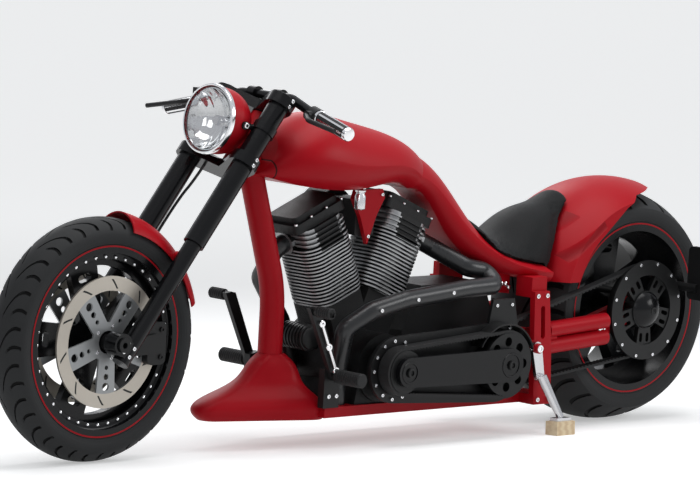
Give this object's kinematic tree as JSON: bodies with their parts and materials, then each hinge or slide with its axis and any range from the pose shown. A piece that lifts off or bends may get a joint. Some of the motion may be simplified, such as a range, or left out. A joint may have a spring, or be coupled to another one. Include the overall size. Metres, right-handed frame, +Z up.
{
  "type": "chopper motorcycle",
  "caption": "Long low V-twin chopper with stretched one-piece bodywork, raked upside-down fork, open belt primary drive and wide rear tyre, leaning on its side stand on a wood block.",
  "frame": {"origin": "on the floor under the middle of the parked machine: centre of its bounding box in plan, at floor level", "axes": "+X forward towards the front wheel, +Y to the rider's left, +Z up from the floor"},
  "size_m": [2.5428, 0.7349, 0.9723],
  "materials": {
    "red_paint": "satin red paint",
    "black_paint": "gloss black paint",
    "black_satin": "satin black coating",
    "engine_black": "wrinkle black with cut fin edges",
    "steel": "ground steel",
    "chrome": "bright chrome",
    "tyre": "road tyre rubber",
    "belt": "toothed belt rubber",
    "grip": "grip rubber",
    "seat": "black leather",
    "lens": "clear glass",
    "tail_lens": "red lamp plastic",
    "mirror": "bright reflector",
    "pine": "raw pine",
    "hose": "black hose"
  },
  "bodies": {
    "frame": {"air_cleaner": "black_satin", "belly_pan": "red_paint", "crankcase": "engine_black", "cylinders": "engine_black", "down_tube": "red_paint", "exhaust": "black_satin", "final_belt": "belt", "foot_controls": "black_satin", "frame_posts": "red_paint", "fuel_tank": "red_paint", "gearbox": "engine_black", "plate_holder": "black_paint", "primary_belt": "belt", "primary_brace": "black_paint", "primary_plate": "black_satin", "primary_pulleys": "black_satin", "pushrod_tubes": "chrome", "rear_caliper": "black_satin", "rear_fender": "red_paint", "rocker_boxes": "engine_black", "seat_base": "red_paint", "seat_pad": "seat", "side_panels": "red_paint", "swingarm": "red_paint", "tail_lamp": "tail_lens", "valley_cover": "red_paint", "wood_block": "pine"},
    "steering": {"fork_legs": "black_satin", "fork_tubes": "black_paint", "fork_clamps": "black_paint", "front_axle": "chrome", "front_calipers": "black_satin", "front_fender": "red_paint", "handlebar": "black_paint", "grips": "grip", "hand_levers": "black_satin", "headlight_bowl": "red_paint", "headlight_reflector": "mirror", "headlight_lens": "lens", "headlight_brackets": "black_paint", "brake_hose": "hose"},
    "front_wheel": {"front_rim": "black_paint", "front_tyre": "tyre", "front_discs": "steel"},
    "rear_wheel": {"rear_rim": "black_paint", "rear_tyre": "tyre", "rear_disc": "steel", "rear_pulley": "black_satin", "rear_axle": "chrome"},
    "side_stand": {"stand_leg": "chrome"}
  },
  "joints": [
    {"name": "steering", "type": "hinge", "parent": "frame", "child": "steering", "pos_m": [0.44656, 0.00242, 0.80979], "axis": [-0.6157, 0.0412, 0.7869], "range_deg": [-28, 28]},
    {"name": "front_wheel_spin", "type": "hinge", "parent": "steering", "child": "front_wheel", "pos_m": [0.95244, -0.0233, 0.3189], "axis": [0, 0.9986, -0.0523], "continuous": true},
    {"name": "rear_wheel_spin", "type": "hinge", "parent": "frame", "child": "rear_wheel", "pos_m": [-0.94144, -0.02273, 0.32988], "axis": [0, 0.9986, -0.0523], "continuous": true},
    {"name": "side_stand_fold", "type": "hinge", "parent": "frame", "child": "side_stand", "pos_m": [-0.47544, 0.18979, 0.23864], "axis": [0, 0.9986, -0.0523], "range_deg": [0, 80]}
  ]
}
